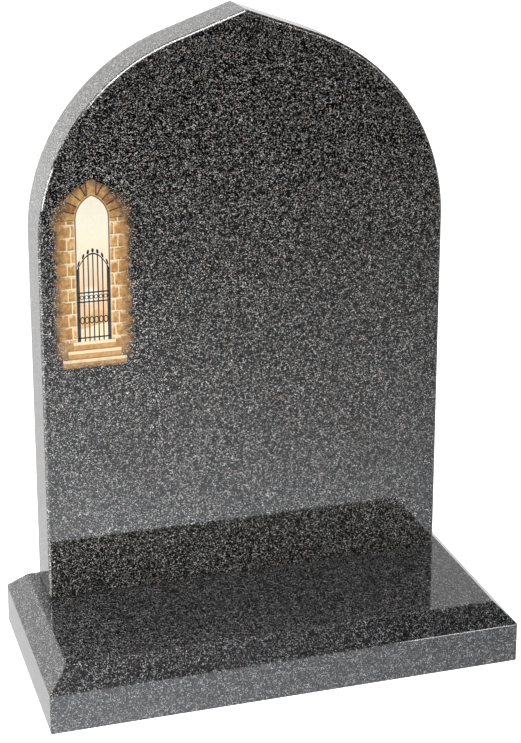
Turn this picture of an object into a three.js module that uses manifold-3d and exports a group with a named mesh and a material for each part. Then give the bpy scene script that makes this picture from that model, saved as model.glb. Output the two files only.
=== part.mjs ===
// A granite lawn headstone: a pointed-arch tablet standing on a splayed base.
// Millimetres, +Z up. The origin is the bottom centre of the base, and the face looks along -Y.
import * as THREE from 'three';
import * as BufferGeometryUtils from 'three/addons/utils/BufferGeometryUtils.js';
import Module from 'manifold-3d';

// Base: a slab whose top edge is cut back by a 45 degree splay on all four sides.
const BASE_WIDTH = 610;
const BASE_DEPTH = 305;
const BASE_EDGE_HEIGHT = 51;
const SPLAY = 25;
const BASE_HEIGHT = BASE_EDGE_HEIGHT + SPLAY;
const BASE_CORNER_ARRIS = 2;

// Tablet: parallel sides, a semicircular head and two straight tangents that meet in a point.
const TABLET_WIDTH = 533;
const TABLET_THICKNESS = 76;
const TABLET_HEIGHT = 756;
const TABLET_ARRIS = 3;
const TABLET_BACK_SETBACK = 34;
const POINT_TANGENT_ANGLE = THREE.MathUtils.degToRad(70);
const HEAD_ARC_SEGMENTS = 28;

// The tablet is bedded on the base with a joint this thick.
const BED_JOINT = 0.3;

// How far a blank runs past the face that trims it.
const TRIM_ALLOWANCE = 20;

const graniteColour = 0x56585b;

const wasm = await Module();
wasm.setup();

// A closed three.js geometry as a solid that can be cut and joined.
function toSolid(geometry) {
  const bare = geometry.clone();
  bare.deleteAttribute('normal');
  bare.deleteAttribute('uv');
  const merged = BufferGeometryUtils.mergeVertices(bare);
  return new wasm.Manifold(new wasm.Mesh({
    numProp: 3,
    vertProperties: new Float32Array(merged.attributes.position.array),
    triVerts: new Uint32Array(merged.index.array),
  }));
}

// A cut solid as a three.js geometry again.
function toGeometry(solid) {
  const mesh = solid.getMesh();
  const geometry = new THREE.BufferGeometry();
  geometry.setAttribute('position', new THREE.BufferAttribute(mesh.vertProperties, 3));
  geometry.setIndex(new THREE.BufferAttribute(mesh.triVerts, 1));
  geometry.computeVertexNormals();
  return geometry;
}

function graniteMesh(name, geometry) {
  const material = new THREE.MeshStandardMaterial({
    color: graniteColour,
    roughness: 0.12,
    metalness: 0,
  });
  const mesh = new THREE.Mesh(geometry, material);
  mesh.name = name;
  return mesh;
}

// The base's end-on outline: upright edges below, splays above, a flat top.
function splayedProfile(width) {
  const half = width / 2;
  const profile = new THREE.Shape();
  profile.moveTo(-half, 0);
  profile.lineTo(half, 0);
  profile.lineTo(half, BASE_EDGE_HEIGHT);
  profile.lineTo(half - SPLAY, BASE_HEIGHT);
  profile.lineTo(-half + SPLAY, BASE_HEIGHT);
  profile.lineTo(-half, BASE_EDGE_HEIGHT);
  profile.closePath();
  return profile;
}

// The base's outline from above: a rectangle with its upright corners taken off.
function basePlan() {
  const halfWidth = BASE_WIDTH / 2;
  const halfDepth = BASE_DEPTH / 2;
  const plan = new THREE.Shape();
  plan.moveTo(-halfWidth + BASE_CORNER_ARRIS, -halfDepth);
  plan.lineTo(halfWidth - BASE_CORNER_ARRIS, -halfDepth);
  plan.lineTo(halfWidth, -halfDepth + BASE_CORNER_ARRIS);
  plan.lineTo(halfWidth, halfDepth - BASE_CORNER_ARRIS);
  plan.lineTo(halfWidth - BASE_CORNER_ARRIS, halfDepth);
  plan.lineTo(-halfWidth + BASE_CORNER_ARRIS, halfDepth);
  plan.lineTo(-halfWidth, halfDepth - BASE_CORNER_ARRIS);
  plan.lineTo(-halfWidth, -halfDepth + BASE_CORNER_ARRIS);
  plan.closePath();
  return plan;
}

// The base is what three extrusions share: its front outline, its end outline and its plan.
function makeBase() {
  const frontLength = BASE_DEPTH + 2 * TRIM_ALLOWANCE;
  const front = new THREE.ExtrudeGeometry(splayedProfile(BASE_WIDTH), {
    depth: frontLength,
    bevelEnabled: false,
  });
  front.rotateX(Math.PI / 2);
  front.translate(0, frontLength / 2, 0);

  const endLength = BASE_WIDTH + 2 * TRIM_ALLOWANCE;
  const end = new THREE.ExtrudeGeometry(splayedProfile(BASE_DEPTH), {
    depth: endLength,
    bevelEnabled: false,
  });
  end.rotateX(Math.PI / 2);
  end.rotateZ(Math.PI / 2);
  end.translate(-endLength / 2, 0, 0);

  const upright = new THREE.ExtrudeGeometry(basePlan(), {
    depth: BASE_HEIGHT + 2 * TRIM_ALLOWANCE,
    bevelEnabled: false,
  });
  upright.translate(0, 0, -TRIM_ALLOWANCE);

  const solid = toSolid(front).intersect(toSolid(end)).intersect(toSolid(upright));
  return graniteMesh('base', toGeometry(solid));
}

// The tablet's outline, drawn from the bed upwards and run on below it for trimming.
function tabletOutline() {
  const half = TABLET_WIDTH / 2;
  const springHeight = TABLET_HEIGHT - half / Math.sin(POINT_TANGENT_ANGLE);
  const outline = new THREE.Shape();
  outline.moveTo(-half, -TRIM_ALLOWANCE);
  outline.lineTo(half, -TRIM_ALLOWANCE);
  outline.lineTo(half, springHeight);
  outline.absarc(0, springHeight, half, 0, POINT_TANGENT_ANGLE, false);
  outline.lineTo(0, TABLET_HEIGHT);
  outline.absarc(0, springHeight, half, Math.PI - POINT_TANGENT_ANGLE, Math.PI, false);
  outline.closePath();
  return outline;
}

// The tablet is extruded with a small arris round both faces, then cut square at its bed.
function makeTablet() {
  const blank = new THREE.ExtrudeGeometry(tabletOutline(), {
    depth: TABLET_THICKNESS - 2 * TABLET_ARRIS,
    curveSegments: HEAD_ARC_SEGMENTS,
    bevelEnabled: true,
    bevelSegments: 1,
    bevelThickness: TABLET_ARRIS,
    bevelSize: TABLET_ARRIS,
    bevelOffset: -TABLET_ARRIS,
  });
  blank.rotateX(Math.PI / 2);
  const centreFromExtrudeStart = TABLET_THICKNESS / 2 - TABLET_ARRIS;
  blank.translate(0, centreFromExtrudeStart, 0);

  const waste = new THREE.BoxGeometry(
    TABLET_WIDTH + 2 * TRIM_ALLOWANCE,
    TABLET_THICKNESS + 2 * TRIM_ALLOWANCE,
    2 * TRIM_ALLOWANCE,
  );
  waste.translate(0, 0, -TRIM_ALLOWANCE);

  const tablet = graniteMesh('tablet', toGeometry(toSolid(blank).subtract(toSolid(waste))));
  tablet.position.y = BASE_DEPTH / 2 - TABLET_BACK_SETBACK - TABLET_THICKNESS / 2;
  tablet.position.z = BASE_HEIGHT + BED_JOINT;
  return tablet;
}

const headstone = new THREE.Group();
headstone.add(makeBase(), makeTablet());

export default headstone;
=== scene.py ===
"""A polished granite headstone: a pointed-arch tablet with a painted picture, on a splayed base.

Metres, +Z up, the face towards -Y, the origin at the bottom centre of the base.
"""
import math

import bpy
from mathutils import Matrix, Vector


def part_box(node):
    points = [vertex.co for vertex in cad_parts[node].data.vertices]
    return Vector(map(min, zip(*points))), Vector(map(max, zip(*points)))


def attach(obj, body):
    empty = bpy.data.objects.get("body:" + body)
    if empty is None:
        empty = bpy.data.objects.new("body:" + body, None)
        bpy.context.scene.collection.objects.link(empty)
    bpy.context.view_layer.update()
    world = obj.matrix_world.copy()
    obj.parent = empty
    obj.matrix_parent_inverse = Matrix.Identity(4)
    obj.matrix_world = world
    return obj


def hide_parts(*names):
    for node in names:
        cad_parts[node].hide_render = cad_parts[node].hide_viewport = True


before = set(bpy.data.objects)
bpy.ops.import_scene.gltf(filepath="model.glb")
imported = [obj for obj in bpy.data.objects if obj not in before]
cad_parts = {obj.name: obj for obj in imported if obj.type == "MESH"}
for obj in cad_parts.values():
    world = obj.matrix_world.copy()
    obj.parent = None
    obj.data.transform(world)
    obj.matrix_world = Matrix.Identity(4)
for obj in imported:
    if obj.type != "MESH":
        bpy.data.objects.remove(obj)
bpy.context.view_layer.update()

MM = 0.001

# Sizes taken from the frame
base_low, base_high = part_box("base")
tablet_low, tablet_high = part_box("tablet")

# Base profile
SPLAY = 25 * MM
BASE_EDGE_HEIGHT = base_high.z - SPLAY
BASE_EASED_EDGE = 1.4 * MM
BASE_CORNER_RADIUS = 2.4 * MM
MITRE_RADIUS = 0.5 * MM
CORNER_STEPS = 4

# Tablet profile
HALF_WIDTH = (tablet_high.x - tablet_low.x) / 2
POINT_TANGENT_ANGLE = math.radians(70)
SPRING_HEIGHT = tablet_high.z - HALF_WIDTH / math.sin(POINT_TANGENT_ANGLE)
ARRIS = 3 * MM
ARRIS_EASE = 0.7 * MM
FOOT_EASE = 0.8 * MM

# The picture's height in pixels, and the camera that was fitted to its corners and arch
PHOTO_HEIGHT = 743
FOCAL_PIXELS = 1835.8
PRINCIPAL_POINT_ABOVE_CENTRE = 150
CAMERA_PLACE = Vector((-0.6426, -2.0968, 1.1867))
CAMERA_YAW = math.radians(17.166)
CAMERA_PITCH = math.radians(-15.608)
SENSOR = 36


# Camera

def make_camera():
    data = bpy.data.cameras.new("camera")
    data.sensor_width = SENSOR
    data.lens = FOCAL_PIXELS * SENSOR / PHOTO_HEIGHT
    data.shift_y = -PRINCIPAL_POINT_ABOVE_CENTRE / PHOTO_HEIGHT
    camera = bpy.data.objects.new("camera", data)
    camera.location = CAMERA_PLACE
    camera.rotation_euler = (math.pi / 2 + CAMERA_PITCH, 0, -CAMERA_YAW)
    bpy.context.scene.collection.objects.link(camera)
    bpy.context.scene.camera = camera


# Shader fields

class Field:
    """A number that varies over a surface. Arithmetic on it adds Math nodes to its tree."""

    def __init__(self, tree, socket):
        self.tree = tree
        self.socket = socket

    def math(self, operation, *others, clamp=False):
        node = self.tree.nodes.new("ShaderNodeMath")
        node.operation = operation
        node.use_clamp = clamp
        for slot, value in zip(node.inputs, (self, *others)):
            feed(self.tree, slot, value)
        return Field(self.tree, node.outputs[0])

    def __add__(self, other):
        return self.math("ADD", other)

    __radd__ = __add__

    def __sub__(self, other):
        return self.math("SUBTRACT", other)

    def __rsub__(self, other):
        return (self * -1) + other

    def __mul__(self, other):
        return self.math("MULTIPLY", other)

    def __truediv__(self, other):
        return self.math("DIVIDE", other)

    def __abs__(self):
        return self.math("ABSOLUTE")

    def least(self, other):
        return self.math("MINIMUM", other)

    def most(self, other):
        return self.math("MAXIMUM", other)

    def clamped(self):
        """Cut off under 0 and over 1."""
        return self.math("ADD", 0, clamp=True)

    def over(self, edge, softness=0.3):
        """1 where the field is over edge, 0 where it is under, with a soft step between."""
        return (self - edge).fade(-softness, softness)

    def under(self, edge, softness=0.3):
        """1 where the field is under edge, which may be a field too."""
        return (self - edge).fade(softness, -softness)

    def fade(self, start, end):
        """0 at start and beyond, 1 at end and beyond."""
        node = self.tree.nodes.new("ShaderNodeMapRange")
        node.interpolation_type = "SMOOTHSTEP"
        feed(self.tree, node.inputs["Value"], self)
        low, high = min(start, end), max(start, end)
        node.inputs["From Min"].default_value = low
        node.inputs["From Max"].default_value = high
        node.inputs["To Min"].default_value = 0 if start < end else 1
        node.inputs["To Max"].default_value = 1 if start < end else 0
        return Field(self.tree, node.outputs["Result"])

    def colours(self, stops):
        """The colour at the field's value, between (value, colour) stops."""
        node = self.tree.nodes.new("ShaderNodeValToRGB")
        feed(self.tree, node.inputs["Fac"], self)
        ramp = node.color_ramp
        for place, _ in stops[2:]:
            ramp.elements.new(place)
        for element, (place, colour) in zip(ramp.elements, stops):
            element.position = place
            element.color = (*colour, 1)
        return Field(self.tree, node.outputs["Color"])


def feed(tree, slot, value):
    if isinstance(value, Field):
        tree.links.new(value.socket, slot)
    elif isinstance(value, tuple):
        slot.default_value = (*value, 1)
    else:
        slot.default_value = value


# The colour sockets of a Mix node
MIX_UNDER = 6
MIX_OVER = 7
MIX_RESULT = 2


def mixed(tree, amount, under, over, blend="MIX"):
    """The colour under, covered by the colour over as far as amount says."""
    node = tree.nodes.new("ShaderNodeMix")
    node.data_type = "RGBA"
    node.blend_type = blend
    feed(tree, node.inputs["Factor"], amount)
    feed(tree, node.inputs[MIX_UNDER], under)
    feed(tree, node.inputs[MIX_OVER], over)
    return Field(tree, node.outputs[MIX_RESULT])


def multiplied(tree, colour, tint):
    return mixed(tree, 1, colour, tint, blend="MULTIPLY")


def position(tree, offset=(0, 0, 0)):
    """The place on the object, in metres, moved by offset."""
    coordinates = tree.nodes.new("ShaderNodeTexCoord")
    mapping = tree.nodes.new("ShaderNodeMapping")
    mapping.inputs["Location"].default_value = offset
    tree.links.new(coordinates.outputs["Object"], mapping.inputs["Vector"])
    return Field(tree, mapping.outputs["Vector"])


def split(field):
    node = field.tree.nodes.new("ShaderNodeSeparateXYZ")
    feed(field.tree, node.inputs[0], field)
    return [Field(field.tree, output) for output in node.outputs]


def stretched(place, factors):
    """The place with its axes scaled, which draws a pattern out along the ones under 1."""
    node = place.tree.nodes.new("ShaderNodeMapping")
    feed(place.tree, node.inputs["Vector"], place)
    node.inputs["Scale"].default_value = factors
    return Field(place.tree, node.outputs["Vector"])


def noise(place, size, detail=2, roughness=0.5):
    """Soft random blobs of about the given size, from 0 to 1, as a number and as a colour."""
    node = place.tree.nodes.new("ShaderNodeTexNoise")
    feed(place.tree, node.inputs["Vector"], place)
    node.inputs["Scale"].default_value = 1 / size
    node.inputs["Detail"].default_value = detail
    node.inputs["Roughness"].default_value = roughness
    return Field(place.tree, node.outputs["Fac"]), Field(place.tree, node.outputs["Color"])


def crystals(place, size):
    """Cells of about the given size: the distance from the cell's middle, and its three numbers."""
    node = place.tree.nodes.new("ShaderNodeTexVoronoi")
    feed(place.tree, node.inputs["Vector"], place)
    node.inputs["Scale"].default_value = 1 / size
    middle = Field(place.tree, node.outputs["Distance"])
    return middle, split(Field(place.tree, node.outputs["Color"]))


def shifted(place, field, reach):
    """The place, moved about by up to reach, by a random colour."""
    node = place.tree.nodes.new("ShaderNodeVectorMath")
    node.operation = "MULTIPLY_ADD"
    feed(place.tree, node.inputs[0], field)
    node.inputs[1].default_value = (reach, reach, reach)
    feed(place.tree, node.inputs[2], place)
    return Field(place.tree, node.outputs[0])


# Granite

GRANITE_TONES = [
    (0.00, (0.0012, 0.0013, 0.0015)),
    (0.36, (0.0016, 0.0017, 0.0020)),
    (0.46, (0.012, 0.012, 0.0126)),
    (0.55, (0.06, 0.06, 0.0612)),
    (0.65, (0.20, 0.20, 0.20)),
    (0.78, (0.50, 0.50, 0.4925)),
    (1.00, (0.95, 0.95, 0.9357)),
]
WARM_GRAIN = (1.17, 0.97, 0.84)
COOL_GRAIN = (0.85, 0.98, 1.08)
WOBBLE_SIZE = 1.1 * MM
WOBBLE_REACH = 0.5 * MM

# Grain sizes, and how much each adds to the tone
COARSE_GRAIN = 1.17 * MM
COARSE_SHARE = 0.70
FINE_GRAIN = 0.83 * MM
FINE_SHARE = 0.52
CLUMP_SIZE = 6 * MM
CLUMP_SHARE = 0.33
TONE_DROP = 0.245

# Sparse white flecks, the radius as a share of the spacing
WHITE_FLECK = (0.60, 0.60, 0.59)
FLECK_SPACING = 4.2 * MM
FLECK_RADIUS = 0.16
FLECK_ABSENT = 0.66
FLECK_STRENGTH = 0.6

# Finishes: how deep each reaches in from its face, its tone, its roughness over the polish
POLISH = 0.02
POLISH_SPREAD = 0.015
HONED_DEPTH = 0.6 * MM
HONED_TONE = (0.13, 0.13, 0.13)
HONED_COVER = 0.30
HONED_ROUGHNESS = 0.33
SAWN_DEPTH = 0.3 * MM
SAWN_TONE = (0.24, 0.24, 0.235)
SAWN_COVER = 0.60
SAWN_ROUGHNESS = 0.3
# The band round the tablet's foot: dark cement of the bed joint, with painted shadow of the joint
# over it
JOINT_SHADE_HEIGHT = 2.2 * MM
JOINT_SHADE_TONE = (0.002, 0.002, 0.002)
JOINT_SHADE_COVER = 0.95
JOINT_ROUGHNESS = 0.3
PAINT_ROUGHNESS = 0.16
ROUGHEST = 0.8
GRANITE_IOR = 1.55
USUAL_SPECULAR_LEVEL = 0.5
# The tones over which a grain turns from dark to pale in how strongly it mirrors
PALE_FROM = 0.3
PALE_TO = 0.7

# Relief of each finish, in microns
MICRON = 0.001 * MM
POLISHED_RELIEF = 0.4
HONED_RELIEF = 3
SAWN_RELIEF = 120
SAW_MARK_PITCH = 1.6 * MM
SAW_MARK_STRETCH = (0.04, 1, 1)


def granite_fields(tree, offset, cast):
    """The stone's colour, how each grain takes the polish, and its tone from dark to pale."""
    place = position(tree, offset)
    _, wobble = noise(place, WOBBLE_SIZE, detail=1)
    place = shifted(place, wobble, WOBBLE_REACH)
    _, (coarse, hue, polish) = crystals(place, COARSE_GRAIN)
    _, (fine, _, _) = crystals(place, FINE_GRAIN)
    clump, _ = noise(place, CLUMP_SIZE, detail=2)
    tone = coarse * COARSE_SHARE + fine * FINE_SHARE + (clump - 0.5) * CLUMP_SHARE - TONE_DROP
    colour = tone.colours(GRANITE_TONES)
    colour = multiplied(tree, colour, mixed(tree, hue, COOL_GRAIN, WARM_GRAIN))
    colour = multiplied(tree, colour, cast)
    fleck_middle, (fleck_pick, _, _) = crystals(place, FLECK_SPACING)
    fleck = fleck_middle.under(FLECK_RADIUS, 0.04) * fleck_pick.over(FLECK_ABSENT, 0.02)
    colour = mixed(tree, fleck * FLECK_STRENGTH, colour, WHITE_FLECK)
    return colour, polish, tone


def new_material(name):
    material = bpy.data.materials.new(name)
    material.use_nodes = True
    tree = material.node_tree
    shader = next(node for node in tree.nodes if node.type == "BSDF_PRINCIPLED")
    return material, tree, shader


def granite(name, offset, cast, low, high, sheen=0, joint_shade=0, paint=None):
    """Polished all round, honed on the back, sawn underneath, and darkened round the foot up to the
    given height: dark cement and painted shadow of the bed joint.

    low and high are the stone's box. The pale grains mirror more strongly, as far as sheen says.
    """
    material, tree, shader = new_material(name)
    colour, polish, tone = granite_fields(tree, offset, cast)
    place = position(tree)
    _, y, z = split(place)
    honed = y.over(high.y - HONED_DEPTH, HONED_DEPTH / 2)
    sawn = z.under(low.z + SAWN_DEPTH, SAWN_DEPTH / 2)
    # The foot band is dark cement of the bed joint, and painted shadow where the tablet meets the
    # base
    foot = z.under(low.z + joint_shade, SAWN_DEPTH / 2)
    roughness = polish * POLISH_SPREAD + POLISH + honed * HONED_ROUGHNESS
    roughness = roughness + foot * JOINT_ROUGHNESS + sawn * SAWN_ROUGHNESS
    colour = mixed(tree, honed * HONED_COVER, colour, HONED_TONE)
    colour = mixed(tree, foot * JOINT_SHADE_COVER, colour, JOINT_SHADE_TONE)
    colour = mixed(tree, sawn * SAWN_COVER, colour, SAWN_TONE)
    if paint:
        cover, painted = paint(tree)
        colour = mixed(tree, cover, colour, painted)
        roughness = roughness + cover * PAINT_ROUGHNESS
    feed(tree, shader.inputs["Base Color"], colour)
    feed(tree, shader.inputs["Roughness"], roughness.least(ROUGHEST))
    shader.inputs["IOR"].default_value = GRANITE_IOR
    if sheen:
        pale = tone.fade(PALE_FROM, PALE_TO)
        feed(tree, shader.inputs["Specular IOR Level"], pale * sheen + USUAL_SPECULAR_LEVEL)
    saw_marks, _ = noise(stretched(place, SAW_MARK_STRETCH), SAW_MARK_PITCH, detail=3)
    relief = tone * POLISHED_RELIEF + sawn * saw_marks * SAWN_RELIEF + honed * tone * HONED_RELIEF
    bump = tree.nodes.new("ShaderNodeBump")
    bump.inputs["Strength"].default_value = 1
    bump.inputs["Distance"].default_value = MICRON
    feed(tree, bump.inputs["Height"], relief)
    tree.links.new(bump.outputs["Normal"], shader.inputs["Normal"])
    return material


# Painted picture: a stone archway with an iron gate, in millimetres from its own foot

# Where that foot is on the stone, in metres
PICTURE_X = -0.199
PICTURE_Z = 0.362
PAINT_DEPTH = 1 * MM

# Opening
OPENING_HALF_WIDTH = 21
ARCH_CENTRE_OFFSET = 12
ARCH_SPRING = 220
SILL = 62

# Piers
COURSE = 16.5
COURSE_WAVINESS = 2.2
PIER_WIDTH = 15
PIER_TOOTH = 5
PIER_JOINT_SHARE = 0.42
BED_JOINT_HALF_WIDTH = 0.8
UPRIGHT_JOINT_HALF_WIDTH = 0.75

# Arch ring
RING_WIDTH = 14
RING_TOOTH = 6
WEDGE = math.radians(14.5)
SEAM_HALF_WIDTH = 0.75
KEYSTONE_HALF_WIDTH = 4.6
KEYSTONE_FLARE = 0.04
KEYSTONE_TONE = 0.8

# View
SUN_U = -4
SUN_V = 122
RIDGE_HEIGHT = SILL + 34
MEADOW_HEIGHT = SILL + 20
TRACK_HALF_WIDTH = 15

# Gate
BAR_PITCH = 6
BAR_HALF_WIDTH = 0.75
GATE_TOP = 176
GATE_CURVE = 0.05
TOP_RAIL_HALF_WIDTH = 1.0
RAIL_HALF_WIDTH = 0.9
RAIL_HEIGHTS = (SILL + 5, SILL + 52, SILL + 64)
STILE_INSET = 1.4
RING_ROW = SILL + 58
RING_RADIUS = 2.2
SCROLL_ROW = SILL + 28
SCROLL_RADIUS = 2.3
FINIAL_RISE = 4.2
FINIAL_RADIUS = 1.55
# Heights in a scroll or a finial count by this share, which draws them tall
TALL_SHARE = 0.55

# Steps
STEP_RISE = 11.5
STEP_COUNT = 3
TOP_STEP_HALF_WIDTH = OPENING_HALF_WIDTH + 6
STEP_GOING = 7
NOSING = 4

# Brush marks
DRIFT_SIZE = 9 * MM
BLOTCH_SIZE = 6 * MM
SPECK_SIZE = 1.5 * MM
STROKE_SIZE = 11 * MM

WHITE_LIGHT = (0.96, 0.91, 0.74)
CREAM = (0.90, 0.78, 0.52)
PEACH = (0.86, 0.57, 0.32)
SAND = (0.74, 0.46, 0.18)
GOLD = (0.46, 0.22, 0.055)
BROWN = (0.27, 0.115, 0.04)
IRON = (0.010, 0.009, 0.008)


def fraction(field):
    return field.math("FRACT")


def length(a, b):
    return (a * a + b * b).math("SQRT")


def from_middle(field, pitch):
    """The distance from the middle of each repeat of the pitch."""
    return abs(fraction(field / pitch) - 0.5) * pitch


def block_tone(place, column, row):
    """A number of its own for each block, from 0 to 1."""
    tree = place.tree
    join = tree.nodes.new("ShaderNodeCombineXYZ")
    feed(tree, join.inputs[0], column)
    feed(tree, join.inputs[1], row)
    pick = tree.nodes.new("ShaderNodeTexWhiteNoise")
    tree.links.new(join.outputs[0], pick.inputs["Vector"])
    return Field(tree, pick.outputs["Value"])


class Painting:
    """What the painted parts share: a point's place on the picture, and the brush marks there."""

    def __init__(self, tree):
        self.tree = tree
        self.place = position(tree)
        x, self.depth, z = split(self.place)

        # Across and up, and the same off the middle line and over the springing
        self.u = (x - PICTURE_X) * (1 / MM)
        self.v = (z - PICTURE_Z) * (1 / MM)
        self.side = abs(self.u)
        self.right = self.u.over(0, 0.01)
        self.rise = (self.v - ARCH_SPRING).most(0)

        # Out from the arch's centre, and out from the edge of the opening
        self.radius = length(self.side + ARCH_CENTRE_OFFSET, self.rise)
        self.reach = self.radius - (OPENING_HALF_WIDTH + ARCH_CENTRE_OFFSET)
        self.above_spring = self.v.over(ARCH_SPRING, 0.01)
        self.above_sill = self.v.over(SILL, 0.4)

        # Brush marks
        self.drift, _ = noise(self.place, DRIFT_SIZE, detail=2)
        self.blotch, _ = noise(self.place, BLOTCH_SIZE, detail=5, roughness=0.65)
        self.speck, _ = noise(self.place, SPECK_SIZE, detail=2)
        self.stroke, _ = noise(self.place, STROKE_SIZE, detail=3)

    def mix(self, amount, under, over):
        return mixed(self.tree, amount, under, over)

    def wander(self, reach):
        """A slow drift of edges, by half of reach to either side."""
        return (self.drift - 0.5) * reach


def paint_piers(art):
    """How far the coursed piers cover, and their colour: pale joints, browner further out."""
    reach, blotch = art.reach, art.blotch
    wavy = art.v + art.wander(COURSE_WAVINESS)
    row = (wavy / COURSE).math("FLOOR")
    odd = row.math("MODULO", 2)
    in_course = fraction(wavy / COURSE)
    upright = odd * PIER_TOOTH + PIER_WIDTH * PIER_JOINT_SHARE
    column = reach.math("GREATER_THAN", upright) + art.right * 2
    tone = block_tone(art.place, column, row)
    bed_joints = from_middle(wavy, COURSE).over(COURSE / 2 - BED_JOINT_HALF_WIDTH, 0.4)
    upright_joints = abs(reach - upright + art.wander(2)).under(UPRIGHT_JOINT_HALF_WIDTH, 0.4)

    colour = art.mix((blotch * 3.4 + tone * 0.7 - 1.75).clamped(), GOLD, SAND)
    colour = art.mix(in_course.fade(0.42, 0.05) * blotch.fade(0.66, 0.40) * 0.75, colour, BROWN)
    colour = art.mix(in_course.fade(0.62, 0.92) * blotch.fade(0.42, 0.58) * 0.75, colour, CREAM)
    colour = art.mix(art.speck.fade(0.56, 0.70) * blotch.fade(0.60, 0.45) * 0.6, colour, BROWN)
    colour = art.mix(bed_joints.most(upright_joints) * 0.95, colour, CREAM)
    colour = art.mix(reach.fade(4, 26) * 0.6, colour, BROWN)
    colour = art.mix(reach.fade(4, 0.8) * 0.5, colour, CREAM)
    cover = reach.under(odd * PIER_TOOTH + PIER_WIDTH) * (1 - art.above_spring)
    return cover, colour


def paint_arch_ring(art):
    """How far the ring of wedge blocks covers, and its colour: dark seams, a peach inner edge."""
    reach, side, radius = art.reach, art.side, art.radius
    turn = art.rise.math("ARCTAN2", side + ARCH_CENTRE_OFFSET)
    wedge = (turn / WEDGE).math("FLOOR")
    keystone_edge = art.rise * KEYSTONE_FLARE + KEYSTONE_HALF_WIDTH
    keystone = side.under(keystone_edge)
    tone = block_tone(art.place, wedge + 20, art.right) * (1 - keystone) + keystone * KEYSTONE_TONE
    ring_edge = tone * RING_TOOTH + RING_WIDTH + art.wander(3)
    past_middle = abs(fraction(turn / WEDGE) - 0.5) * radius * WEDGE
    seams = (past_middle - radius * (WEDGE / 2)).over(-SEAM_HALF_WIDTH, 0.4) * (1 - keystone)
    seams = seams.most(abs(side - keystone_edge).under(0.7, 0.4))

    colour = art.mix((art.blotch * 2.2 + tone * 0.8 - 1.2).clamped(), BROWN, SAND)
    colour = art.mix((reach - ring_edge).fade(-5, -0.5) * 0.6, colour, BROWN)
    colour = art.mix(art.speck.fade(0.56, 0.70) * 0.5, colour, BROWN)
    colour = art.mix(seams * 0.9, colour, IRON)
    colour = art.mix(reach.fade(2.6, 0.8) * 0.6, colour, PEACH)
    return reach.under(ring_edge, 0.6) * art.above_spring, colour


def paint_view(art):
    """The colour of the view through the opening: a low sun over hills, a meadow and a track."""
    u, v = art.u, art.v
    colour = art.mix(v.fade(ARCH_SPRING, SILL + 30), WHITE_LIGHT, PEACH)
    clouds = art.stroke.fade(0.52, 0.70) * v.fade(ARCH_SPRING + 20, 120)
    colour = art.mix(clouds * 0.5, colour, CREAM)
    colour = art.mix(length(u - SUN_U, v - SUN_V).fade(15, 6), colour, WHITE_LIGHT)
    ridge = (u * 0.10 + 1).math("SINE") * 6 + RIDGE_HEIGHT + art.wander(8)
    colour = art.mix(v.under(ridge, 1.4) * 0.75, colour, SAND)
    meadow = v.under((u * 0.08).math("SINE") * 3 + MEADOW_HEIGHT, 0.8)
    colour = art.mix(meadow, colour, GOLD)
    track_half_width = v * -0.5 + (SILL + TRACK_HALF_WIDTH)
    track = abs(u + (v - SILL) * 0.25).under(track_half_width, 0.8) * meadow
    return art.mix(track, colour, CREAM)


def paint_gate(art):
    """How far the wrought iron covers: bars, rails, a row of rings, scrolls, finials and stiles."""
    u, v, side = art.u, art.v, art.side
    off_bar = from_middle(u + BAR_PITCH / 2, BAR_PITCH)
    off_gap = from_middle(u, BAR_PITCH)
    top = side * side * -GATE_CURVE + GATE_TOP
    bars = off_bar.under(BAR_HALF_WIDTH) * v.under(top)
    rails = abs(v - top).under(TOP_RAIL_HALF_WIDTH)
    for height in RAIL_HEIGHTS:
        rails = rails.most(abs(v - height).under(RAIL_HALF_WIDTH))
    rings = abs(length(off_gap, v - RING_ROW) - RING_RADIUS).under(0.5)
    scrolls = abs(length(off_gap, (v - SCROLL_ROW) * TALL_SHARE) - SCROLL_RADIUS).under(0.45)
    finials = length(off_bar, (v - top - FINIAL_RISE) * TALL_SHARE).under(FINIAL_RADIUS)
    stiles = abs(side - (OPENING_HALF_WIDTH - STILE_INSET)).under(0.9) * v.under(top)
    iron = bars.most(rails).most(rings).most(scrolls).most(finials).most(stiles)
    return iron * art.reach.under(-0.2)


def paint_steps(art, under):
    """How far the steps cover, and the picture's colour with them over the colour under."""
    v = art.v
    cover = None
    colour = under
    for step in range(STEP_COUNT):
        top = SILL - step * STEP_RISE
        bottom = top - STEP_RISE
        half = TOP_STEP_HALF_WIDTH + step * STEP_GOING
        tread = art.side.under(half) * v.under(top) * v.over(bottom)
        face = art.mix((art.blotch * 2.2 - 0.7).clamped(), GOLD, SAND)
        face = art.mix(v.over(top - NOSING, 0.5) * 0.9, face, CREAM)
        face = art.mix(v.fade(bottom + 3, bottom) * 0.8, face, BROWN)
        colour = art.mix(tread, colour, face)
        cover = tread if cover is None else cover.most(tread)
    return cover, colour


def paint_wall(art):
    """How far the rough wall round about covers, fading into the granite, and its colour."""
    v, reach = art.v, art.reach
    loose = (art.stroke - 0.5) * 18 + (art.speck - 0.5) * 10
    cover = (reach + loose).fade(32, 14) * (v + loose).fade(28, 60) * (v + loose).fade(262, 226)
    colour = art.mix((art.blotch * 2.4 - 0.75).clamped(), BROWN, SAND)
    foot_fade = (v + loose).fade(18, 42)
    return cover * 0.95, art.mix(0.35, colour, GOLD), foot_fade


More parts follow.
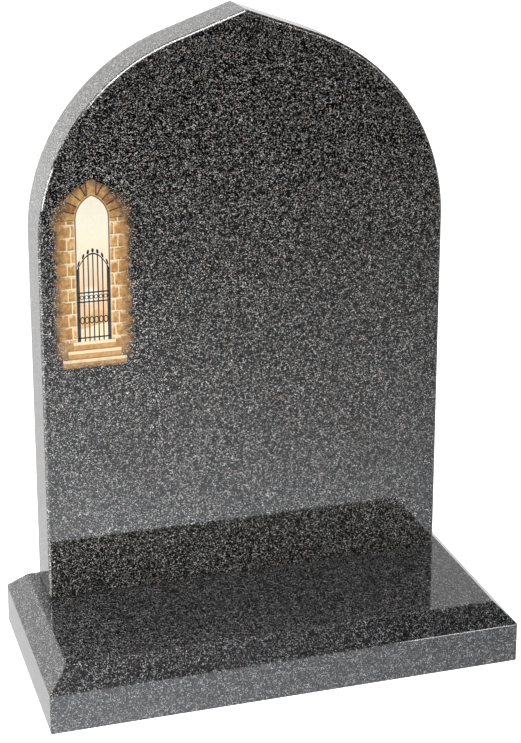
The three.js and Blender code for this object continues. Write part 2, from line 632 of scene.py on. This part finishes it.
def paint_archway(tree):
    """How far the paint covers the stone, and its colour."""
    art = Painting(tree)
    reach = art.reach
    pier_cover, pier = paint_piers(art)
    ring_cover, ring = paint_arch_ring(art)
    masonry = (pier_cover + ring_cover).least(1) * reach.over(0.4) * art.above_sill
    stone = art.mix(art.above_spring, pier, ring)

    in_opening = reach.under(0.4) * art.above_sill
    outline = abs(reach).under(0.75, 0.35) * art.above_sill
    view = art.mix(paint_gate(art), paint_view(art), IRON)
    colour = art.mix(in_opening, stone, view)
    colour = art.mix(outline * 0.9, colour, IRON)
    steps, colour = paint_steps(art, colour)

    wall_cover, wall, foot_fade = paint_wall(art)
    solid = masonry.most(in_opening).most(steps)
    colour = art.mix(solid, wall, colour)
    on_face = art.depth.under(tablet_low.y + PAINT_DEPTH, PAINT_DEPTH / 2)
    crown = (reach + (art.speck - 0.5) * 14).fade(RING_WIDTH + 4, RING_WIDTH - 8)
    crown = 1 - art.above_spring * (1 - crown) * 0.5
    return solid.most(wall_cover) * foot_fade * crown * on_face, colour


# Meshes

# How finely the tablet's outline is drawn; its last points crowd the tip, which keeps it crisp
SIDE_STEPS = 12
ARC_STEPS = 72
TANGENT_SHARES = (0.3, 0.6, 0.85, 0.96, 0.99, 1)

# Bake maps in millimetres: where each chart has its middle or its start
TABLET_MAP_SIZE = 1090
TABLET_FRONT_MIDDLE = 272
TABLET_BACK_MIDDLE = 817
TABLET_FACE_DROP = 72
TABLET_RIM_START = 6
TABLET_RIGHT_RIM_ROW = 770
TABLET_LEFT_RIM_ROW = 856
TABLET_FOOT_ROW = 900
BASE_MAP_SIZE = 803
BASE_CHART_MIDDLE = 310
BASE_TOP_ROW = 157
BASE_UNDERSIDE_ROW = 470

# The base's upright sides on its map, front, right, back and left: (middle, row)
BASE_SIDE_PLACES = ((310, 630), (157, 748), (310, 689), (470, 748))


def bend(start, corner, end, steps=3):
    """Points of a curve from start to end that is drawn out towards corner."""
    points = []
    for step in range(steps + 1):
        t = step / steps
        points.append(tuple(
            (1 - t) ** 2 * a + 2 * t * (1 - t) * b + t * t * c
            for a, b, c in zip(start, corner, end)
        ))
    return points


def eased_chamfer(leg, ease):
    """(inset, depth) points of a 45 degree chamfer whose two edges are rounded over."""
    face_edge = bend((leg + ease, 0), (leg, 0), (leg - ease, ease))
    rim_edge = bend((ease, leg - ease), (0, leg), (0, leg + ease))
    return face_edge + rim_edge


def eased_bend(corner, before, after, ease):
    """Points of a rounded bend at corner, between its neighbours on the profile."""
    start, end = (
        tuple(c + (n - c) * ease / math.dist(corner, other) for c, n in zip(corner, other))
        for other in (before, after)
    )
    return bend(start, corner, end)


def half_outline(inset, foot):
    """(x, z) points of the tablet's right half, from its foot up to the point."""
    radius = HALF_WIDTH - inset
    points = [
        (radius, foot + (SPRING_HEIGHT - foot) * step / SIDE_STEPS)
        for step in range(SIDE_STEPS)
    ]
    for step in range(ARC_STEPS + 1):
        angle = POINT_TANGENT_ANGLE * step / ARC_STEPS
        points.append((radius * math.cos(angle), SPRING_HEIGHT + radius * math.sin(angle)))
    start = points[-1]
    end = (0, SPRING_HEIGHT + radius / math.sin(POINT_TANGENT_ANGLE))
    for t in TANGENT_SHARES:
        points.append((start[0] * (1 - t) + end[0] * t, start[1] * (1 - t) + end[1] * t))
    return points


class Shell:
    """Vertices and faces of a piece, each face with its place on the bake map in millimetres."""

    def __init__(self):
        self.vertices = []
        self.faces = []
        self.places = []

    def vertex(self, x, y, z):
        self.vertices.append((x, y, z))
        return len(self.vertices) - 1

    def face(self, corners, places):
        self.faces.append(tuple(corners))
        self.places.append(list(places))

    def flat(self, corners, chart):
        """A face laid out by chart(x, y, z)."""
        self.face(corners, [chart(*(c / MM for c in self.vertices[corner])) for corner in corners])


def mesh_object(name, shell, map_size, material):
    mesh = bpy.data.meshes.new(name)
    mesh.from_pydata(shell.vertices, [], shell.faces)
    bake_map = mesh.uv_layers.new(name="OFBake")
    places = [value / map_size for face in shell.places for place in face for value in place]
    bake_map.data.foreach_set("uv", places)
    mesh.polygons.foreach_set("use_smooth", [True] * len(mesh.polygons))
    mesh.materials.append(material)
    piece = bpy.data.objects.new(name, mesh)
    bpy.context.scene.collection.objects.link(piece)
    return piece


def even_shading(piece):
    """Keeps broad faces flat and lets only the eased edges turn the light."""
    modifier = piece.modifiers.new("even_shading", "WEIGHTED_NORMAL")
    modifier.keep_sharp = True
    modifier.weight = 100


def running_length(points):
    """The distance along the points up to each of them, in millimetres."""
    total = 0
    lengths = [0]
    for start, end in zip(points, points[1:]):
        total += math.dist(start, end) / MM
        lengths.append(total)
    return lengths


def make_tablet(material):
    shell = Shell()
    foot = tablet_low.z + FOOT_EASE
    front = tablet_low.y
    back = tablet_high.y
    arris = eased_chamfer(ARRIS, ARRIS_EASE)
    profile = [(inset, front + depth) for inset, depth in arris]
    profile += [(inset, back - depth) for inset, depth in reversed(arris)]
    rings = []
    for inset, y in profile:
        half = half_outline(inset, foot)
        outline = half + [(-x, z) for x, z in reversed(half[:-1])]
        rings.append([shell.vertex(x, y, z) for x, z in outline])
    last = len(rings[0]) - 1
    apex = last // 2

    # Rim, unrolled in two rows, the right half and the left
    across = running_length(profile)
    along = running_length(half_outline(0, foot))
    for near, far, low_edge, high_edge in zip(rings, rings[1:], across, across[1:]):
        for k in range(last):
            if k < apex:
                start, end, row = k, k + 1, TABLET_RIGHT_RIM_ROW
            else:
                start, end, row = last - k, last - k - 1, TABLET_LEFT_RIM_ROW
            corners = ((start, low_edge), (start, high_edge), (end, high_edge), (end, low_edge))
            places = [(TABLET_RIM_START + along[step], row + edge) for step, edge in corners]
            shell.face((near[k], far[k], far[k + 1], near[k + 1]), places)

    # Front and back
    def front_chart(x, y, z):
        return x + TABLET_FRONT_MIDDLE, z - TABLET_FACE_DROP

    def back_chart(x, y, z):
        return TABLET_BACK_MIDDLE - x, z - TABLET_FACE_DROP

    for ring, chart in ((rings[0], front_chart), (rings[-1], back_chart)):
        for k in range(apex):
            quad = [ring[k], ring[k + 1], ring[last - k - 1], ring[last - k]]
            if quad[1] == quad[2]:
                quad.pop(2)
            shell.flat(quad if chart is front_chart else quad[::-1], chart)

    # Foot, with its edge eased
    def foot_chart(x, y, z):
        return x + TABLET_FRONT_MIDDLE, y + TABLET_FOOT_ROW

    loop = [ring[0] for ring in rings] + [ring[last] for ring in reversed(rings)]
    centre_y = (front + back) / 2
    shrink_x = 1 - FOOT_EASE / HALF_WIDTH
    shrink_y = 1 - 2 * FOOT_EASE / (back - front)
    sole = []
    for index in loop:
        x, y, _ = shell.vertices[index]
        sole.append(shell.vertex(x * shrink_x, centre_y + (y - centre_y) * shrink_y, tablet_low.z))
    size = len(loop)
    for k in range(size):
        after = (k + 1) % size
        shell.flat((loop[after], loop[k], sole[k], sole[after]), foot_chart)
    for k in range(size // 2 - 1):
        shell.flat((sole[k], sole[size - 1 - k], sole[size - 2 - k], sole[k + 1]), foot_chart)
    piece = mesh_object("headstone_tablet", shell, TABLET_MAP_SIZE, material)
    even_shading(piece)
    return piece


def plan_ring(inset, radius):
    """(x, y) points round the base, from the front left corner, a quarter of them to each side."""
    half_x = base_high.x - inset
    half_y = base_high.y - inset
    points = []
    for sign_x, sign_y, start in ((-1, -1, 180), (1, -1, 270), (1, 1, 0), (-1, 1, 90)):
        for step in range(CORNER_STEPS + 1):
            angle = math.radians(start + 90 * step / CORNER_STEPS)
            points.append((
                sign_x * (half_x - radius) + radius * math.cos(angle),
                sign_y * (half_y - radius) + radius * math.sin(angle),
            ))
    turn = CORNER_STEPS // 2
    return points[turn:] + points[:turn]


def make_base(material):
    shell = Shell()
    bottom = (0, base_low.z)
    shoulder = (0, BASE_EDGE_HEIGHT)
    brow = (SPLAY, base_high.z)
    eased = 0.3 * FOOT_EASE
    profile = [
        (FOOT_EASE, base_low.z),
        (eased, base_low.z + eased),
        (0, base_low.z + FOOT_EASE),
    ]
    profile += eased_bend(shoulder, bottom, brow, BASE_EASED_EDGE)
    profile += eased_bend(brow, shoulder, (base_high.y, base_high.z), BASE_EASED_EDGE)
    rings = []
    for inset, z in profile:
        radius = BASE_CORNER_RADIUS if z <= BASE_EDGE_HEIGHT else MITRE_RADIUS
        rings.append([shell.vertex(x, y, z) for x, y in plan_ring(inset, radius)])
    count = len(rings[0])
    quarter = count // 4

    def top_chart(x, y, z):
        return x + BASE_CHART_MIDDLE, y + BASE_TOP_ROW

    def bottom_chart(x, y, z):
        return x + BASE_CHART_MIDDLE, BASE_UNDERSIDE_ROW - y

    # Upright sides and splays
    outline = [tuple(c / MM for c in point) for point in plan_ring(0, BASE_CORNER_RADIUS)]
    for near, far in zip(rings, rings[1:]):
        upright = shell.vertices[far[0]][2] <= BASE_EDGE_HEIGHT
        for k in range(count):
            after = (k + 1) % count
            corners = (near[k], near[after], far[after], far[k])
            if not upright:
                shell.flat(corners, top_chart)
                continue
            side = k // quarter
            middle, row = BASE_SIDE_PLACES[side]
            direction = ((1, 0), (0, 1), (-1, 0), (0, -1))[side]
            places = []
            for corner, step in zip(corners, (k, after, after, k)):
                x, y = outline[step]
                places.append((
                    middle + x * direction[0] + y * direction[1],
                    row + shell.vertices[corner][2] / MM,
                ))
            shell.face(corners, places)

    # Top and underside, in rows of faces from end to end
    for ring, chart in ((rings[-1], top_chart), (rings[0], bottom_chart)):
        for k in range(-CORNER_STEPS // 2, quarter + CORNER_STEPS // 2):
            opposite = 3 * quarter - k
            quad = [ring[step % count] for step in (k, k + 1, opposite - 1, opposite)]
            shell.flat(quad if chart is top_chart else quad[::-1], chart)
    piece = mesh_object("headstone_base", shell, BASE_MAP_SIZE, material)
    even_shading(piece)
    return piece


# Studio

# Brightness of the lit paper in front of the stone, as the polish mirrors it: (y, brightness)
FRONT_PAPER_GLOW = [
    (-3.2, 0.0),
    (-2.5, 0.04),
    (-1.65, 0.35),
    (-0.93, 0.9),
    (-0.6, 1.3),
    (-0.17, 2.3),
]
# Share of that from left to right: (x, share)
FRONT_PAPER_SIDES = [(-0.8, 1.4), (-0.3, 1.3), (-0.05, 0.97), (0.4, 0.62)]
FRONT_PAPER_TINT = (0.965, 1, 1.04)
# The papers before and behind meet just in front of the base
PAPER_BREAK = base_low.y - 0.2 * MM
PAPER_LENGTH = 14
PAPER_HALF_WIDTH = 12
PAPER_HEIGHT = 0.001

# Brightness of the paper behind: (x, brightness)
BACK_PAPER_GLOW = [
    (-2.4, 1.43),
    (-1.1, 1.3),
    (-0.6, 1.08),
    (-0.3, 1.08),
    (0.8, 0.6),
    (2, 0.6),
    (4, 0.95),
]
BOUNCE_GLOW = 1.25
BOUNCE_LOW = (-1.8, -1.3)
BOUNCE_HIGH = (1.8, 1.4)
BOUNCE_HEIGHT = 0.0005
LEFT_CARD_GLOW = 4
LEFT_CARD_HEIGHT = 0.002
LEFT_CARD_PLAN = [(-0.4, -0.04), (-0.4, 0.05), (-2.1, -0.22), (-2.1, -0.36)]

# Brightness of the wall behind, by the sideways part of a direction, and of the room in front
WALL_GLOW = [(-0.46, 1.6), (-0.09, 1.2), (0.36, 0.98)]
ROOM_GLOW = 0.02
# The wall fades in over these forward parts of a direction
WALL_START = -0.15
WALL_WHOLE = 0.35

FLOOR_WHITE = (0.86, 0.86, 0.86)
FLOOR_ROUGHNESS = 0.6
FLOOR_SPECULAR = 0.2
FLOOR_GLOW = 0.75
FLOOR_HALF_WIDTH = 15
BACKDROP_RADIUS = 16
BACKDROP_GLOW = 1.2

# The room whose lights the polished faces and edges mirror
CEILING = 2.8
LEFT_WALL = -4
FRONT_WALL = -4.5


def rectangle(low, high, z):
    return [(low[0], low[1], z), (high[0], low[1], z), (high[0], high[1], z), (low[0], high[1], z)]


def on_left_wall(low, high):
    """Corners of a rectangle between low and high, both (y, z)."""
    return [(LEFT_WALL, y, z) for y, z, _ in rectangle(low, high, 0)]


def on_front_wall(low, high):
    """Corners of a rectangle between low and high, both (x, z)."""
    return [(x, FRONT_WALL, z) for x, z, _ in rectangle(low, high, 0)]


def level(plan, z):
    return [(x, y, z) for x, y in plan]


# Each light's corners, and its brightness: (x, brightness)
LIGHTS = {
    "left_softbox": (
        level([(-3.4, -1.58), (-0.24, -0.79), (-0.24, -0.39), (-3.4, -0.94)], CEILING),
        [(-3.4, 0), (-1.7, 16)],
    ),
    "left_window": (on_left_wall((-1.4, 0.4), (-0.4, 1.5)), [(0, 13)]),
    "left_skylight": (on_left_wall((-0.8, 1.9), (-0.4, 2.7)), [(0, 24)]),
    "top_softbox": (rectangle((-0.2, 0.2), (1.7, 1.05), CEILING), [(0.5, 13), (1.1, 3)]),
    "front_ceiling": (rectangle((-0.4, -3.4), (4, -0.85), CEILING), [(0.3, 0.55), (1.3, 0.15)]),
    "front_window": (on_front_wall((-1.5, 2), (3.5, 4.2)), [(0, 0.7)]),
    "right_window": (on_front_wall((1.7, 0.05), (3.6, 1.8)), [(0, 19)]),
}


def make_sheet(name, corners, material):
    mesh = bpy.data.meshes.new(name)
    mesh.from_pydata(corners, [], [(0, 1, 2, 3)])
    mesh.materials.append(material)
    sheet = bpy.data.objects.new(name, mesh)
    bpy.context.scene.collection.objects.link(sheet)
    return sheet


def glowing(name, strength_of, tint=(1, 1, 1)):
    """A material that only shines, as strongly as strength_of(tree) says."""
    material = bpy.data.materials.new(name)
    material.use_nodes = True
    tree = material.node_tree
    tree.nodes.clear()
    shine = tree.nodes.new("ShaderNodeEmission")
    shine.inputs["Color"].default_value = (*tint, 1)
    feed(tree, shine.inputs["Strength"], strength_of(tree))
    output = tree.nodes.new("ShaderNodeOutputMaterial")
    tree.links.new(shine.outputs["Emission"], output.inputs["Surface"])
    return material


def piecewise(field, points):
    """A value that runs straight between the (place, value) points, and is level beyond them."""
    result = points[0][1]
    for (start, before), (end, after) in zip(points, points[1:]):
        node = field.tree.nodes.new("ShaderNodeMapRange")
        feed(field.tree, node.inputs["Value"], field)
        node.inputs["From Min"].default_value = start
        node.inputs["From Max"].default_value = end
        node.inputs["To Min"].default_value = 0
        node.inputs["To Max"].default_value = after - before
        result = Field(field.tree, node.outputs["Result"]) + result
    return result


def even(glow):
    """The same brightness all over."""
    return lambda tree: glow


def graded(points):
    """A brightness that runs through the (x, brightness) points."""
    return lambda tree: piecewise(split(position(tree))[0], points)


def front_paper_glow(tree):
    x, y, _ = split(position(tree))
    return piecewise(y, FRONT_PAPER_GLOW) * piecewise(x, FRONT_PAPER_SIDES)


def seen_only_by(thing, camera=False, diffuse=False, glossy=False):
    thing.visible_camera = camera
    thing.visible_diffuse = diffuse
    thing.visible_glossy = glossy
    thing.visible_shadow = False
    thing.visible_transmission = False


def make_floor():
    """The pale floor, which the camera sees and which lights nothing itself."""
    material, _, shader = new_material("pale_floor")
    shader.inputs["Base Color"].default_value = (*FLOOR_WHITE, 1)
    shader.inputs["Roughness"].default_value = FLOOR_ROUGHNESS
    shader.inputs["Specular IOR Level"].default_value = FLOOR_SPECULAR
    shader.inputs["Emission Color"].default_value = (1, 1, 1, 1)
    shader.inputs["Emission Strength"].default_value = FLOOR_GLOW
    low = (-FLOOR_HALF_WIDTH, -FLOOR_HALF_WIDTH)
    high = (FLOOR_HALF_WIDTH, FLOOR_HALF_WIDTH)
    floor = make_sheet("floor", rectangle(low, high, 0), material)
    floor.visible_diffuse = False
    floor.visible_glossy = False


def make_paper():
    """The bright paper under the stone, as its polished faces mirror it, and its bounced light."""
    front_corners = rectangle(
        (-PAPER_HALF_WIDTH, -PAPER_LENGTH), (PAPER_HALF_WIDTH, PAPER_BREAK), PAPER_HEIGHT
    )
    back_corners = rectangle(
        (-PAPER_HALF_WIDTH, PAPER_BREAK), (PAPER_HALF_WIDTH, PAPER_LENGTH), PAPER_HEIGHT
    )
    card_corners = level(LEFT_CARD_PLAN, LEFT_CARD_HEIGHT)
    for name, corners, strength_of, tint in (
        ("front_paper", front_corners, front_paper_glow, FRONT_PAPER_TINT),
        ("back_paper", back_corners, graded(BACK_PAPER_GLOW), (1, 1, 1)),
        ("left_card", card_corners, even(LEFT_CARD_GLOW), (1, 1, 1)),
    ):
        seen_only_by(make_sheet(name, corners, glowing(name, strength_of, tint)), glossy=True)
    bounce_corners = rectangle(BOUNCE_LOW, BOUNCE_HIGH, BOUNCE_HEIGHT)
    bounce = make_sheet("paper_bounce", bounce_corners, glowing("paper_bounce", even(BOUNCE_GLOW)))
    seen_only_by(bounce, diffuse=True)


def make_world():
    """A white wall behind, and a dark room in front."""
    world = bpy.data.worlds.new("studio")
    world.use_nodes = True
    tree = world.node_tree
    coordinates = tree.nodes.new("ShaderNodeTexCoord")
    x, y, _ = split(Field(tree, coordinates.outputs["Generated"]))
    wall = piecewise(x, WALL_GLOW)
    behind = y.fade(WALL_START, WALL_WHOLE)
    background = tree.nodes["Background"]
    background.inputs["Color"].default_value = (1, 1, 1, 1)
    feed(tree, background.inputs["Strength"], behind * (wall - ROOM_GLOW) + ROOM_GLOW)
    bpy.context.scene.world = world


def make_backdrop():
    """The plain white that the camera sees all round."""
    bpy.ops.mesh.primitive_uv_sphere_add(segments=48, ring_count=24, radius=BACKDROP_RADIUS)
    dome = bpy.context.object
    dome.name = "backdrop"
    dome.data.materials.append(glowing("backdrop_white", even(BACKDROP_GLOW)))
    seen_only_by(dome, camera=True)


def make_reflections():
    """Softboxes and windows as the polished faces and edges mirror them."""
    for name, (corners, glow) in LIGHTS.items():
        seen_only_by(make_sheet(name, corners, glowing(name, graded(glow))), glossy=True)


def make_softbox(name, place, target, size, power, spread=math.pi):
    """A lamp that lights the grain and shows in no reflection."""
    data = bpy.data.lights.new(name, "AREA")
    data.shape = "RECTANGLE"
    data.size, data.size_y = size
    data.energy = power
    data.spread = spread
    lamp = bpy.data.objects.new(name, data)
    lamp.location = place
    lamp.rotation_euler = (Vector(target) - Vector(place)).to_track_quat("-Z", "Y").to_euler()
    lamp.visible_camera = False
    lamp.visible_glossy = False
    bpy.context.scene.collection.objects.link(lamp)


def make_studio():
    make_floor()
    make_paper()
    make_world()
    make_backdrop()
    make_reflections()
    make_softbox(
        "front_softbox", place=(-1.3, -2.0, 0.55), target=(-0.08, 0.04, 0.30),
        size=(0.3, 0.3), power=0.95, spread=math.radians(29),
    )
    make_softbox(
        "overhead_softbox", place=(-0.9, -0.7, 1.5), target=(-0.2, -0.1, 0),
        size=(0.8, 0.8), power=14.5,
    )


# Headstone

TABLET_CAST = (1.014, 1, 0.982)
TABLET_SHEEN = 0.5
BASE_CAST = (0.84, 0.865, 0.9)
# The base is cut from another part of the rock
BASE_GRAIN_OFFSET = (1.7, 0.9, 0.4)

bpy.context.scene.view_settings.view_transform = "Standard"
make_camera()
make_studio()
# The tablet's foot is darkened for the bed joint: dark cement, and painted shadow of the joint
tablet_granite = granite(
    "tablet_granite", (0, 0, 0), TABLET_CAST, tablet_low, tablet_high,
    sheen=TABLET_SHEEN, joint_shade=JOINT_SHADE_HEIGHT, paint=paint_archway,
)
tablet = make_tablet(tablet_granite)
base_granite = granite("base_granite", BASE_GRAIN_OFFSET, BASE_CAST, base_low, base_high)
base = make_base(base_granite)
for piece, node in ((tablet, "tablet"), (base, "base")):
    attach(piece, "root")
    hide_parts(node)
